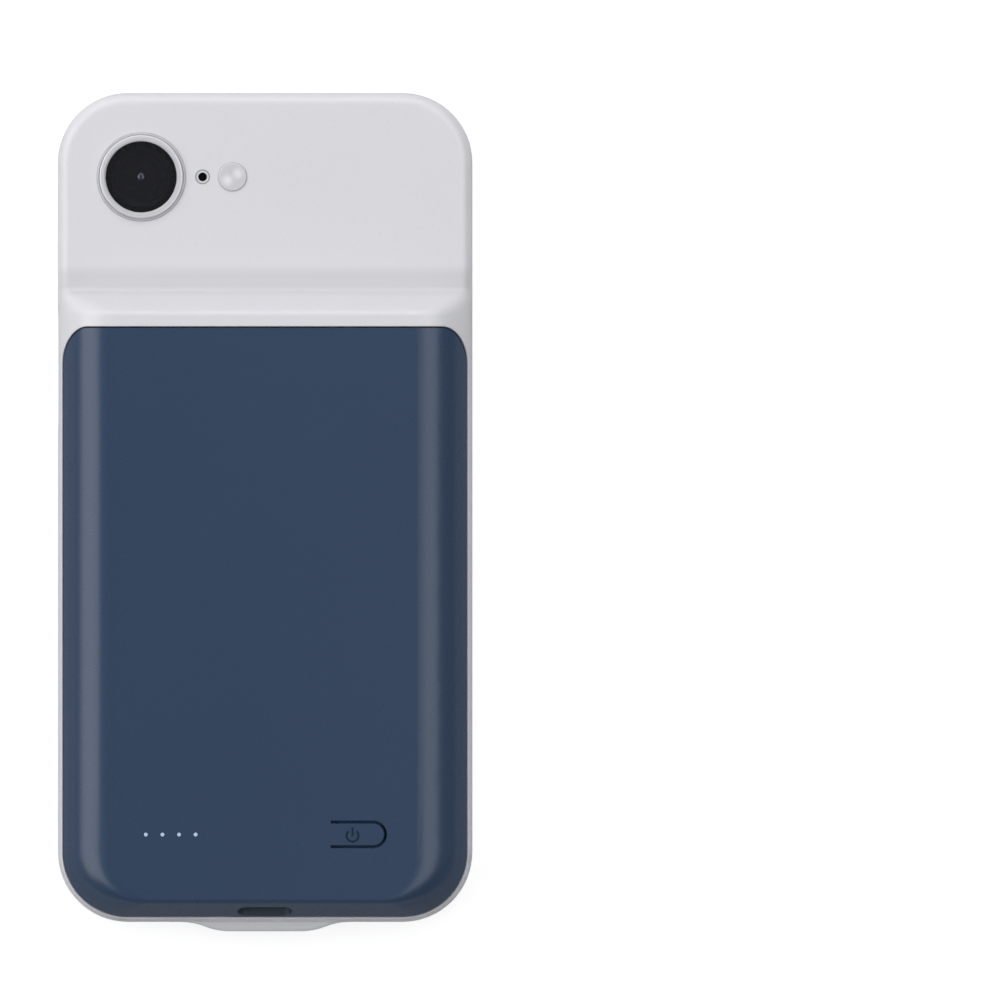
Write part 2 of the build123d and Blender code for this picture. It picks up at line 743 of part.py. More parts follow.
# Switch under the power button
with BuildPart() as switch_body:
    with BuildSketch(Plane.XY.offset(board_top)):
        with Locations((switch_x, control_y)):
            Rectangle(switch_size, switch_size)
    extrude(amount=switch_height)
    with Locations((switch_x, control_y, board_top + switch_height)):
        Hole(plunger_diameter / 2 + plunger_play, switch_bore_depth)

with BuildPart() as switch_plunger:
    with BuildSketch(Plane.XY.offset(plunger_top - plunger_rise - plunger_depth)):
        with Locations((switch_x, control_y)):
            Circle(plunger_diameter / 2)
    extrude(amount=plunger_rise + plunger_depth)

# Charge lamps, and the guide that brings their light through the cover
lamps = {}
for number, place in enumerate(light_places, 1):
    with BuildPart() as lamp:
        with BuildSketch(Plane.XY.offset(board_top)):
            with Locations(place):
                Rectangle(lamp_width, lamp_length)
        extrude(amount=lamp_height)
    lamps[f"indicator_lamp_{number}"] = lamp

with BuildPart() as light_guide:
    with BuildSketch(Plane.XY.offset(inner_z - guide_height)):
        with Locations((light_x, control_y)):
            SlotCenterToCenter((light_count - 1) * light_pitch, guide_width)
    extrude(amount=guide_height)
    with BuildSketch(Plane.XY.offset(inner_z)):
        with Locations(*light_places):
            Circle(light_diameter / 2)
    extrude(amount=cover_wall)
    with BuildSketch(Plane.XY.offset(board_top + lamp_height + guide_gap)):
        with Locations(*light_places):
            Circle(guide_foot / 2)
    extrude(amount=inner_z - guide_height - board_top - lamp_height - guide_gap)

# Chips, inductor and capacitors
parts_y = board_bottom_y + parts_rise
chips = {}
for name, size, place in (("charge_chip", charge_chip_size, 1), ("boost_chip", boost_chip_size, 2)):
    with BuildPart() as chip:
        with BuildSketch(Plane.XY.offset(board_top)):
            with Locations((-place * chip_pitch, parts_y)):
                Rectangle(size, size)
        extrude(amount=chip_height)
    chips[name] = chip

with BuildPart() as power_inductor:
    with BuildSketch(Plane.XY.offset(board_top)):
        with Locations((chip_pitch + inductor_size / 4, parts_y)):
            RectangleRounded(inductor_size, inductor_size, inductor_corner)
    extrude(amount=inductor_height)

capacitors = {}
capacitors_y = parts_y - (capacitor_count + 1) / 2 * capacitor_pitch
for number in range(1, capacitor_count + 1):
    with BuildPart() as capacitor:
        with BuildSketch(Plane.XY.offset(board_top)):
            with Locations((2 * chip_pitch + inductor_size / 4, capacitors_y + number * capacitor_pitch)):
                Rectangle(capacitor_length, capacitor_width)
        extrude(amount=capacitor_height)
    capacitors[f"filter_capacitor_{number}"] = capacitor

# Plug that goes into the phone, on its upright board in the chin
with BuildPart() as plug_board:
    with BuildSketch(Plane.XZ.offset(-plug_board_y)):
        with Locations((0, pocket_low + fit_gap)):
            Rectangle(plug_board_width, pocket_high - pocket_low - 2 * fit_gap,
                      align=(Align.CENTER, Align.MIN))
    extrude(amount=board_thickness)

plug_length = cavity_bottom + plug_reach - plug_board_y
with BuildPart() as plug_shell:
    with BuildSketch(Plane.XZ.offset(-plug_board_y)):
        with Locations((0, phone_mid_z)):
            SlotOverall(plug_width, plug_height)
            SlotOverall(plug_width - 2 * plug_metal, plug_height - 2 * plug_metal, mode=Mode.SUBTRACT)
    extrude(amount=-plug_length)

with BuildPart() as plug_liner:
    with BuildSketch(Plane.XZ.offset(-plug_board_y)):
        with Locations((0, phone_mid_z)):
            SlotOverall(plug_width - 2 * plug_metal, plug_height - 2 * plug_metal)
    extrude(amount=-plug_length)
    with BuildSketch(Plane.XZ.offset(-(plug_board_y + plug_length))):
        with Locations((0, phone_mid_z)):
            Rectangle(plug_mouth_width, plug_mouth_height)
    extrude(amount=plug_mouth_depth, mode=Mode.SUBTRACT)

# Ribbon from the plug board, over the shelf, to the underside of the main board
with BuildPart() as plug_ribbon:
    with BuildSketch(Plane.YZ):
        with BuildLine():
            ribbon_end = board_z - ribbon_thickness / 2
            climb_y = ribbon_y + ribbon_run
            FilletPolyline((ribbon_y, pocket_high - ribbon_overlap), (ribbon_y, ribbon_z),
                           (climb_y, ribbon_z), (climb_y + ribbon_climb, ribbon_end),
                           (climb_y + ribbon_climb + ribbon_overlap, ribbon_end), radius=ribbon_bend)
        trace(line_width=ribbon_thickness)
    extrude(amount=ribbon_width / 2, both=True)

pieces = {
    "frame_shell": frame_shell,
    "battery_cover": battery_cover,
    "power_button": power_button,
    "button_seal": button_seal,
    "inner_plate": inner_plate,
    "camera_bezel": camera_bezel,
    "camera_window": camera_window,
    "flash_window": flash_window,
    "microphone_eyelet": microphone_eyelet,
    "battery_cell": battery_cell,
    "protection_board": protection_board,
    "cell_foam": cell_foam,
    "main_board": main_board,
    "usb_port_shell": usb_port_shell,
    "usb_port_tongue": usb_port_tongue,
    "port_liner": port_liner,
    "switch_body": switch_body,
    "switch_plunger": switch_plunger,
    "light_guide": light_guide,
    "power_inductor": power_inductor,
    "plug_board": plug_board,
    "plug_shell": plug_shell,
    "plug_liner": plug_liner,
    "plug_ribbon": plug_ribbon,
} | tapes | leads | lamps | chips | capacitors

os.makedirs("parts", exist_ok=True)
for name, piece in pieces.items():
    piece.part.label = name
    export_step(piece.part, f"parts/{name}.step")
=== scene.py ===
# %% [markdown]
# # A battery charging case, finished and lit
# The case lies on its open front, so its back looks up at the camera: a white moulded frame with a
# camera ring, and a blue cover over the battery. The solids come from the CAD frame and keep their
# places. This lesson adds the small pieces that are quicker to model here, gives every piece its
# finish, and sets up the light and the camera.

# %% Load the frame
import math
import bmesh
import bpy
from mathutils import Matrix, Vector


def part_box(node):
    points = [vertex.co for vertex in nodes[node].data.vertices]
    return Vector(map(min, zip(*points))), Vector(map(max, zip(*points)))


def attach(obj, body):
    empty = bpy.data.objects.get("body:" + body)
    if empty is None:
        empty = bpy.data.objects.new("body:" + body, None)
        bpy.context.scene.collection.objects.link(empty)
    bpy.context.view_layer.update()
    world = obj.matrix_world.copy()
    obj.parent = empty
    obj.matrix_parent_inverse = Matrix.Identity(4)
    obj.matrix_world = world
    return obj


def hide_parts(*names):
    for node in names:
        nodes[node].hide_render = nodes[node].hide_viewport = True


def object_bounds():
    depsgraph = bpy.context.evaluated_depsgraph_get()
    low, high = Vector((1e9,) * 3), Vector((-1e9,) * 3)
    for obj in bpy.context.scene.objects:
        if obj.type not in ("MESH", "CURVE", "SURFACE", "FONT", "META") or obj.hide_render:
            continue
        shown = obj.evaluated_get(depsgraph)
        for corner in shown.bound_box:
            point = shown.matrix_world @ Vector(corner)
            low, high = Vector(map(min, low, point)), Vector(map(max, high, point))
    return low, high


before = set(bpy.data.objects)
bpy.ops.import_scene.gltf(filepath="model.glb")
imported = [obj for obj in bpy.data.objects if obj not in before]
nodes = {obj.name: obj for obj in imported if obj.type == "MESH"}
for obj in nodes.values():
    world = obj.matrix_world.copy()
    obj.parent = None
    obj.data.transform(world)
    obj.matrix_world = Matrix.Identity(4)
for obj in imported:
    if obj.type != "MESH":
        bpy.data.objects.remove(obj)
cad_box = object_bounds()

MM = 0.001

# %% [markdown]
# ## Camera
# The picture was taken from straight above with a long lens, so nothing converges. A camera six metres
# up with a very long lens does the same, and its picture has the stated width at the level of the upper
# panel. An orthographic camera would also do, but a real lens keeps the other views natural.

# %% Camera
PICTURE_WIDTH = 180.9 * MM
PICTURE_CENTRE = (42.5 * MM, 2.2 * MM)
PICTURE_LEVEL = 10 * MM
CAMERA_HEIGHT = 6.0
SENSOR = 36.0

camera_data = bpy.data.cameras.new("camera")
camera_data.sensor_width = SENSOR
camera_data.lens = SENSOR * CAMERA_HEIGHT / PICTURE_WIDTH
camera_data.clip_end = 100.0
camera = bpy.data.objects.new("camera", camera_data)
camera.location = (*PICTURE_CENTRE, CAMERA_HEIGHT + PICTURE_LEVEL)
bpy.context.collection.objects.link(camera)
bpy.context.scene.camera = camera
bpy.context.scene.view_settings.view_transform = "Standard"
print("camera with a lens of", round(camera_data.lens), "mm")

# %% [markdown]
# ## Sums with sockets
# A finish is a small web of nodes. Wiring each Math node by hand hides what is being worked out, so
# this class wraps a socket and lets plain sums add the nodes. Colours and vectors have methods of
# their own, and one method adds any other node.


# %% A socket that takes part in sums
class Wire:
    """An output socket in a finish's node tree."""

    def __init__(self, tree, socket=None):
        self.tree = tree
        self.socket = socket

    def node(self, kind, settings=None, inputs=None, out=0):
        """Adds a node: first its settings, then the values or links of its sockets."""
        made = self.tree.nodes.new(kind)
        for name, value in (settings or {}).items():
            setattr(made, name, value)
        for key, value in (inputs or {}).items():
            if isinstance(value, Wire):
                self.tree.links.new(value.socket, made.inputs[key])
            else:
                made.inputs[key].default_value = value
        return Wire(self.tree, made.outputs[out])

    def maths(self, operation, first, second=0.0):
        return self.node("ShaderNodeMath", {"operation": operation}, {0: first, 1: second})

    def __add__(self, other):
        return self.maths("ADD", self, other)

    __radd__ = __add__

    def __sub__(self, other):
        return self.maths("SUBTRACT", self, other)

    def __rsub__(self, other):
        return self.maths("SUBTRACT", other, self)

    def __mul__(self, other):
        return self.maths("MULTIPLY", self, other)

    __rmul__ = __mul__

    def rise(self, low, high):
        """0 below low, 1 above high, and smooth between."""
        return self.node("ShaderNodeMapRange", {"interpolation_type": "SMOOTHSTEP"},
                         {0: self, 1: low, 2: high, 3: 0.0, 4: 1.0})

    def mix(self, low, high):
        """Colour low where this value is 0, and high where it is 1."""
        return self.node("ShaderNodeMix", {"data_type": "RGBA"}, {0: self, 6: low, 7: high}, 2)

    def moved(self, offset):
        """This place, counted from another origin."""
        return self.node("ShaderNodeVectorMath", {"operation": "SUBTRACT"}, {0: self, 1: offset})

    def length(self):
        return self.node("ShaderNodeVectorMath", {"operation": "LENGTH"}, {0: self}, "Value")

    def stretched(self, factors):
        return self.node("ShaderNodeVectorMath", {"operation": "MULTIPLY"}, {0: self, 1: factors})

    def axis(self, name):
        return self.node("ShaderNodeSeparateXYZ", None, {0: self}, name)

    def noise(self, size, detail=2.0):
        """Cloudy pattern at this place whose patches are about this size, in metres."""
        return self.node("ShaderNodeTexNoise", None,
                         {"Vector": self, "Scale": 1 / size, "Detail": detail})

    def relief(self, depth):
        """Surface normal for this height, which is 0 to 1, over a depth in metres."""
        return self.node("ShaderNodeBump", None, {"Height": self, "Distance": depth})


print("sockets can now be added, multiplied and mixed")

# %% [markdown]
# ## Starting a finish
# Every finish is a Principled shader. What is the same all over goes straight onto the shader's own
# sockets, and what changes over the surface is linked. Object coordinates are in metres in the frame's
# own axes, so a grain has its true size.


# %% Start and feed a finish
finishes = {}


def start_finish(name, **constants):
    """A new finish with these constant values; gives its shader and its place on the piece."""
    finish = bpy.data.materials.new(name)
    finish.use_nodes = True
    shader = finish.node_tree.nodes["Principled BSDF"]
    for socket, value in constants.items():
        shader.inputs[socket.replace("_", " ")].default_value = value
    finishes[name] = finish
    return shader, Wire(finish.node_tree).node("ShaderNodeTexCoord", out="Object")


def feed(shader, **links):
    """Links what varies to the shader's sockets."""
    for socket, wire in links.items():
        wire.tree.links.new(wire.socket, shader.inputs[socket.replace("_", " ")])


def dress(finish, *names):
    """Puts a finish on CAD nodes."""
    for name in names:
        node = nodes[name]
        if not node.material_slots:
            node.data.materials.append(finishes[finish])
        for slot in node.material_slots:
            slot.material = finishes[finish]
    print(finish, "on", ", ".join(names))


# %% [markdown]
# ## White moulded frame
# The frame is a tough, slightly soft plastic from a finely blasted mould. It is a cool white with a very
# fine grain that breaks the gloss up. A noise of a third of a millimetre makes the grain, and a broad
# faint one keeps the colour from being dead flat. A soft band at the bottom of the ramp is painted
# darker as shade and is a little rougher, and a thin ring round the microphone's eyelet is painted dark
# as the shadow in its gap. Both follow the place on the piece, because a painted texture would need an
# unwrapped mesh. The plate inside is a dark, matt plastic with a coarser grain.

# %% White frame
CAMERA_X, CAMERA_Y = (sum(corner[i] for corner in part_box("camera_bezel")) / 2 for i in (0, 1))
MICROPHONE_X = sum(corner[0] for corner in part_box("microphone_eyelet")) / 2
PANEL_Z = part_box("microphone_eyelet")[1][2]
FOOT_Y, FOOT_HALF, FOOT_SOFT = 41.8 * MM, 0.8 * MM, 2.6 * MM
LEVEL_BELOW, LEVEL_ABOVE, LEVEL_SOFT = 0.2 * MM, 0.8 * MM, 1.6 * MM
GROOVE_INNER, GROOVE_OUTER, GROOVE_SOFT = 1.18 * MM, 1.30 * MM, 0.08 * MM


def distance_from(place, x, y):
    """Distance from an upright axis."""
    return place.moved((x, y, 0)).stretched((1, 1, 0)).length()


def between(value, low, high, soft):
    """1 from low to high, and 0 further off than the soft edge."""
    return value.rise(low - soft, low) * (1 - value.rise(high, high + soft))


shader, place = start_finish("white_frame", IOR=1.46)
cloud = place.noise(30 * MM)
grain = place.noise(0.35 * MM, 3.0)
level = between(place.axis("Z"), PANEL_Z - LEVEL_BELOW, PANEL_Z + LEVEL_ABOVE, LEVEL_SOFT)
# A band at the bottom of the ramp is painted shade: its colour is darker there, and it is also a little
# rougher.
foot_shade_band = level * between(place.axis("Y"), FOOT_Y - FOOT_HALF, FOOT_Y + FOOT_HALF, FOOT_SOFT)
# A thin ring round the microphone's eyelet is painted dark as the shadow in its gap.
gap_shade_ring = between(distance_from(place, MICROPHONE_X, CAMERA_Y),
                 GROOVE_INNER, GROOVE_OUTER, GROOVE_SOFT)
white = cloud.mix((0.685, 0.68, 0.712, 1), (0.712, 0.706, 0.738, 1))
shaded_white = foot_shade_band.mix(white, (0.605, 0.60, 0.628, 1))
# The base colour carries the painted shade at the bottom of the ramp and the painted shadow in the
# eyelet's gap.
feed(shader,
     Base_Color=gap_shade_ring.mix(shaded_white, (0.31, 0.31, 0.325, 1)),
     Roughness=0.26 + 0.04 * grain + 0.12 * foot_shade_band,
     Normal=grain.relief(0.00035 * MM))
dress("white_frame", "frame_shell")

# %% Inner plate
shader, place = start_finish("slate_plate", IOR=1.46)
grain = place.noise(0.5 * MM, 3.0)
feed(shader,
     Base_Color=place.noise(20 * MM).mix((0.041, 0.050, 0.069, 1), (0.049, 0.060, 0.081, 1)),
     Roughness=0.5 + 0.15 * grain,
     Normal=grain.relief(0.012 * MM))
dress("slate_plate", "inner_plate")

# %% [markdown]
# ## Blue cover
# The cover is a harder plastic with a silky gloss: the softboxes show in its rolled shoulders as broad
# soft bands. A low roughness with a little unevenness gives that, and a faint long ripple stands for the
# way a moulded skin is never quite flat.

# %% Blue cover and button
shader, place = start_finish("blue_cover", IOR=1.5)
cloud = place.noise(24 * MM)
grain = place.noise(0.3 * MM, 3.0)
ripple = place.noise(2.4 * MM)
feed(shader,
     Base_Color=cloud.mix((0.0252, 0.0500, 0.1000, 1), (0.0275, 0.0538, 0.1058, 1)),
     Roughness=0.26 + 0.04 * grain,
     Normal=(0.95 * ripple + 0.05 * grain).relief(0.0016 * MM))
dress("blue_cover", "battery_cover", "power_button")

# %% [markdown]
# ## Camera ring
# The ring round the lens is pale satin metal, turned on a lathe, so it carries faint circles. They are
# noise read along the distance from the ring's axis. It is only partly metallic, as a thin clear lacquer
# over blasted metal looks, because bare metal would mirror the dark room.

# %% Turned ring
TURNING_PITCH = 0.08 * MM
shader, place = start_finish("turned_ring", IOR=1.5, Metallic=0.35)
radius = distance_from(place, CAMERA_X, CAMERA_Y)
turning = radius.node("ShaderNodeTexNoise", {"noise_dimensions": "1D"},
                      {"W": radius, "Scale": 1 / TURNING_PITCH, "Detail": 2.0})
feed(shader,
     Base_Color=turning.mix((0.735, 0.725, 0.76, 1), (0.795, 0.785, 0.82, 1)),
     Roughness=0.20 + 0.12 * turning,
     Normal=turning.relief(0.0015 * MM))
dress("turned_ring", "camera_bezel")
print("camera axis at", round(CAMERA_X / MM, 2), round(CAMERA_Y / MM, 2), "mm")

# %% [markdown]
# ## Lens glass
# The window is clear glass with a violet-grey tint and a dark printed border. What looks black through
# it is a matt baffle, which is modelled next. The border is a darker ring in the finish, with a clear
# coat of its own that gives back the gloss that the print takes away.

# %% Lens glass
BORDER_INNER, BORDER_OUTER = 5.5 * MM, 5.7 * MM
shader, place = start_finish("lens_glass", IOR=1.5, Transmission_Weight=1.0)
radius = distance_from(place, CAMERA_X, CAMERA_Y)
border = radius.rise(BORDER_INNER, BORDER_OUTER)
smear = place.noise(3 * MM)
feed(shader,
     Base_Color=border.mix((0.70, 0.69, 0.80, 1), (0.10, 0.10, 0.12, 1)),
     Roughness=0.02 + 0.03 * smear,
     Coat_Weight=0.9 * border)
dress("lens_glass", "camera_window")

# %% [markdown]
# ## Working in edit mode
# New pieces are modelled as by hand: a primitive is added at its place, parts of it are selected and
# extruded, inset or bevelled, and at the end the place is applied, so that the object sits at the
# origin like a CAD node. These helpers hold the steps that every piece shares.


# %% Helpers for modelling
WELD_DISTANCE = 1e-7


def add(kind, name, **where):
    """Adds a primitive alone and goes into edit mode."""
    if bpy.context.mode != "OBJECT":
        bpy.ops.object.mode_set(mode="OBJECT")
    bpy.ops.object.select_all(action="DESELECT")
    getattr(bpy.ops.mesh, f"primitive_{kind}_add")(**where)
    piece = bpy.context.object
    piece.name = name
    piece.data.name = name
    bpy.ops.object.mode_set(mode="EDIT")
    bpy.ops.mesh.select_mode(type="FACE")
    return piece


def pick_faces(piece, wanted):
    """Selects the faces whose middle, in the frame, and normal pass a test."""
    mesh = bmesh.from_edit_mesh(piece.data)
    for face in mesh.faces:
        face.select_set(bool(wanted(piece.matrix_world @ face.calc_center_median(), face.normal)))
    mesh.select_flush_mode()
    bmesh.update_edit_mesh(piece.data)


def faces_up(middle, normal):
    """Passes the faces that look up."""
    return normal.z > 0.9


def finish_piece(piece, finish, body, smooth=30):
    """Welds doubles, turns faces outwards, applies the place, smooths to an angle, adds the finish."""
    bpy.ops.mesh.select_all(action="SELECT")
    bpy.ops.mesh.remove_doubles(threshold=WELD_DISTANCE)
    bpy.ops.mesh.normals_make_consistent(inside=False)
    bpy.ops.object.mode_set(mode="OBJECT")
    bpy.ops.object.transform_apply(location=True, rotation=True, scale=True)
    bpy.ops.object.shade_smooth_by_angle(angle=math.radians(smooth))
    piece.data.materials.clear()
    piece.data.materials.append(finishes[finish])
    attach(piece, body)
    print(piece.name, "has", len(piece.data.polygons), "faces")


# %% [markdown]
# ## Lens baffle
# Behind the glass sits a black funnel with steps, which keeps stray light off the lens. It starts as a
# round plate, and its top face is inset and pushed down again and again. A lathe profile would give the
# same shape, but insetting shows each step as it is made.

# %% Lens baffle
shader, place = start_finish("baffle_black", IOR=1.4)
fleck = place.noise(0.2 * MM)
feed(shader,
     Base_Color=fleck.mix((0.002, 0.002, 0.003, 1), (0.004, 0.004, 0.006, 1)),
     Roughness=0.65 + 0.2 * fleck)

GLASS_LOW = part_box("camera_window")[0][2]
BAFFLE_RADIUS = 5.6 * MM
BAFFLE_HEIGHT = 1.1 * MM
BAFFLE_GAP = 0.04 * MM
BAFFLE_STEPS = ((0.9, 0.0), (0.05, 0.22), (0.8, 0.0), (0.05, 0.22), (0.75, 0.0), (0.05, 0.22),
                (0.6, 0.02))

baffle = add("cylinder", "lens_baffle", vertices=128, radius=BAFFLE_RADIUS, depth=BAFFLE_HEIGHT,
             location=(CAMERA_X, CAMERA_Y, GLASS_LOW - BAFFLE_HEIGHT / 2 - BAFFLE_GAP))
pick_faces(baffle, faces_up)
for inward, down in BAFFLE_STEPS:
    bpy.ops.mesh.inset(thickness=inward * MM, depth=-down * MM)
finish_piece(baffle, "baffle_black", "case")

# %% [markdown]
# ## Lens
# In the middle of the baffle is the small front lens with its bluish coating. It is a ball cut off by a
# plane, so that only a shallow cap is left.

# %% Lens
shader, place = start_finish("coated_lens", IOR=2.2)
tint = distance_from(place, CAMERA_X, CAMERA_Y).rise(0.1 * MM, 0.6 * MM)
feed(shader,
     Base_Color=tint.mix((0.006, 0.007, 0.018, 1), (0.010, 0.006, 0.014, 1)),
     Roughness=0.02 + 0.03 * tint)

LENS_BALL = 1.1 * MM
LENS_CAP = 0.3 * MM
LENS_DROP = 0.74 * MM
LENS_SEAT = GLASS_LOW - LENS_DROP
CUT_THRESHOLD = 0.0001 * MM
ball_middle = LENS_SEAT + LENS_CAP - LENS_BALL
lens = add("uv_sphere", "front_lens", segments=96, ring_count=96, radius=LENS_BALL,
           location=(CAMERA_X, CAMERA_Y, ball_middle))
bpy.ops.mesh.bisect(plane_co=(CAMERA_X, CAMERA_Y, LENS_SEAT), plane_no=(0, 0, 1), use_fill=True,
                    clear_inner=True, threshold=CUT_THRESHOLD)
finish_piece(lens, "coated_lens", "case", smooth=50)

# %% [markdown]
# ## Flash lens
# The flash has a milky lens with fine rings moulded in it, as a lighthouse lens has. The top of a short
# cylinder is inset in steps that round its edge, and then with small falls and rises for the rings. The
# two soft bright patches are the lamps behind it, painted lighter because they are only seen as a glow.

# %% Flash lens
FLASH_LOW, FLASH_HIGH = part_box("flash_window")
FLASH_X, FLASH_Y = ((FLASH_LOW[i] + FLASH_HIGH[i]) / 2 for i in (0, 1))
FLASH_RADIUS = (FLASH_HIGH[0] - FLASH_LOW[0]) / 2
LAMP_OFFSETS = ((-0.83 * MM, -0.65 * MM), (0.98 * MM, 0.6 * MM))
GLOW_CORE, GLOW_END = 0.05 * MM, 1.45 * MM

shader, place = start_finish("milky_lens", IOR=1.49, Coat_Weight=0.3, Coat_Roughness=0.08)
lamp_glow = sum(1 - distance_from(place, FLASH_X + x, FLASH_Y + y).rise(GLOW_CORE, GLOW_END)
                for x, y in LAMP_OFFSETS)
feed(shader,
     Base_Color=lamp_glow.mix((0.61, 0.60, 0.63, 1), (0.80, 0.788, 0.815, 1)),
     Roughness=0.16 + 0.08 * place.noise(0.6 * MM))

FLASH_EDGE = 0.28 * MM
EDGE_STEPS = 4
RING_COUNT = 4
RING_WIDTH = 0.42 * MM
RING_FALL = 0.05 * MM
flash = add("cylinder", "flash_lens", vertices=96, radius=FLASH_RADIUS,
            depth=FLASH_HIGH[2] - FLASH_LOW[2] - FLASH_EDGE,
            location=(FLASH_X, FLASH_Y, (FLASH_LOW[2] + FLASH_HIGH[2] - FLASH_EDGE) / 2))
pick_faces(flash, faces_up)
stretch = math.radians(90) / EDGE_STEPS
for turn in range(EDGE_STEPS):
    slope = (turn + 0.5) * stretch
    bpy.ops.mesh.inset(thickness=FLASH_EDGE * math.sin(slope) * stretch,
                       depth=FLASH_EDGE * math.cos(slope) * stretch)
for _ in range(RING_COUNT):
    bpy.ops.mesh.inset(thickness=RING_WIDTH, depth=-RING_FALL)
    bpy.ops.mesh.inset(thickness=RING_FALL / 2, depth=RING_FALL)
finish_piece(flash, "milky_lens", "case", smooth=24)
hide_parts("flash_window")

# %% [markdown]
# ## Microphone gauze
# At the bottom of the small hole is a black gauze that keeps dust out. A flat grid is trimmed to a disc,
# and the Wireframe modifier turns its lines into fine wires. Under it is a shallow black cup, so that no
# light comes through from the front.

# %% Microphone gauze
shader, place = start_finish("black_gauze", Metallic=0.4)
fleck = place.noise(0.05 * MM)
feed(shader,
     Base_Color=fleck.mix((0.006, 0.006, 0.007, 1), (0.02, 0.02, 0.022, 1)),
     Roughness=0.4 + 0.2 * fleck)

GAUZE_Z = 9.5 * MM
GAUZE_RADIUS = 0.79 * MM
GAUZE_BLANK = 2.2 * GAUZE_RADIUS
GAUZE_MARGIN = 0.06 * MM
GAUZE_CELLS = 18
WIRE = 0.03 * MM
gauze = add("grid", "microphone_gauze", x_subdivisions=GAUZE_CELLS, y_subdivisions=GAUZE_CELLS,
            size=GAUZE_BLANK, location=(MICROPHONE_X, CAMERA_Y, GAUZE_Z))
pick_faces(gauze, lambda middle, normal: math.hypot(middle.x - MICROPHONE_X, middle.y - CAMERA_Y)
           > GAUZE_RADIUS - GAUZE_MARGIN)
bpy.ops.mesh.delete(type="FACE")
bpy.ops.object.mode_set(mode="OBJECT")
wires = gauze.modifiers.new("wires", "WIREFRAME")
wires.thickness = WIRE
wires.use_boundary = True
bpy.ops.object.modifier_apply(modifier="wires")
bpy.ops.object.mode_set(mode="EDIT")
finish_piece(gauze, "black_gauze", "case")

CUP_HEIGHT = 0.22 * MM
CUP_WALL, CUP_DRAFT, CUP_DEPTH = 0.08 * MM, 0.02 * MM, 0.15 * MM
cup = add("cylinder", "microphone_cup", vertices=64, radius=GAUZE_RADIUS, depth=CUP_HEIGHT,
          location=(MICROPHONE_X, CAMERA_Y, GAUZE_Z - WIRE - CUP_HEIGHT / 2))
pick_faces(cup, faces_up)
bpy.ops.mesh.inset(thickness=CUP_WALL)
bpy.ops.mesh.inset(thickness=CUP_DRAFT, depth=-CUP_DEPTH)
finish_piece(cup, "baffle_black", "case")

# %% [markdown]
# ## Eyelet and port liner
# Two small mouldings come from the CAD frame and only need a finish: the flat white ring round the
# microphone hole, a little glossier than the frame, and the dull blue-grey sleeve in the opening over
# the charging port, which takes the shine off the edge of the opening.

# %% Eyelet and port liner
shader, place = start_finish("eyelet_white", IOR=1.48)
grain = place.noise(0.2 * MM)
feed(shader,
     Base_Color=grain.mix((0.62, 0.62, 0.645, 1), (0.68, 0.68, 0.705, 1)),
     Roughness=0.2 + 0.1 * grain)
dress("eyelet_white", "microphone_eyelet")

shader, place = start_finish("liner_grey", IOR=1.45)
fleck = place.noise(0.2 * MM)
feed(shader,
     Base_Color=fleck.mix((0.022, 0.038, 0.055, 1), (0.028, 0.047, 0.067, 1)),
     Roughness=0.5 + 0.15 * fleck)
dress("liner_grey", "port_liner")

# %% [markdown]
# ## Mark on the power button
# The button carries the common on and off sign, an open ring with a bar. It is a shallow mark in a
# darker blue. A small upright face is spun round the ring's centre, and the bar is a bevelled block.

# %% Button mark
shader, place = start_finish("button_ink", Specular_IOR_Level=0.12)
fleck = place.noise(0.15 * MM)
feed(shader,
     Base_Color=fleck.mix((0.007, 0.016, 0.036, 1), (0.010, 0.021, 0.045, 1)),
     Roughness=0.6 + 0.15 * fleck)

BUTTON_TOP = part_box("power_button")[1][2]
BUTTON_Y = sum(corner[1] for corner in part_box("power_button")) / 2
MARK_X, MARK_Y = 15.85 * MM, BUTTON_Y - 0.2 * MM
MARK_RADIUS = 1.08 * MM
STROKE = 0.36 * MM
MARK_DEPTH = 0.03 * MM
MARK_PROUD = 0.01 * MM
MARK_Z = BUTTON_TOP - MARK_DEPTH / 2 + MARK_PROUD
RING_GAP = 80
RING_STEPS = 48
BAR_LENGTH, BAR_OFFSET, BAR_EDGE = 1.6 * MM, 0.7 * MM, 0.008 * MM

mark = add("plane", "button_mark", size=1, rotation=(math.pi / 2, 0, 0),
           location=(MARK_X + MARK_RADIUS, MARK_Y, MARK_Z))
bpy.ops.transform.resize(value=(STROKE, 1, MARK_DEPTH))
bpy.ops.mesh.spin(steps=RING_STEPS, angle=math.radians(360 - RING_GAP),
                  center=(MARK_X, MARK_Y, MARK_Z), axis=(0, 0, 1))
bpy.ops.mesh.select_all(action="SELECT")
bpy.ops.transform.rotate(value=-math.radians(90 - RING_GAP / 2), orient_axis="Z",
                         center_override=(MARK_X, MARK_Y, MARK_Z))
bpy.ops.mesh.select_all(action="DESELECT")
bpy.ops.mesh.primitive_cube_add(size=1, location=(MARK_X, MARK_Y + BAR_OFFSET, MARK_Z))
bpy.ops.transform.resize(value=(STROKE, BAR_LENGTH, MARK_DEPTH))
bpy.ops.mesh.bevel(offset=BAR_EDGE, segments=1, affect="EDGES")
finish_piece(mark, "button_ink", "button")

# %% [markdown]
# ## Contacts of the port and of the plug
# Both connectors have rows of gold-plated contacts. One contact is a block whose front end is drawn
# down to a ramp; an Array modifier repeats it across the row, and a second row faces the other way.

# %% Contacts
shader, place = start_finish("contact_gold", Metallic=1.0)
wear = place.noise(0.4 * MM)
feed(shader,
     Base_Color=wear.mix((0.78, 0.53, 0.20, 1), (0.86, 0.64, 0.30, 1)),
     Roughness=0.22 + 0.15 * wear)

CONTACT_COUNT = 12
CONTACT_PITCH = 0.5 * MM
CONTACT_WIDTH = 0.26 * MM
RAMP_LENGTH = 0.3 * MM
RAMP_TAPER = (0.7, 1, 0.3)


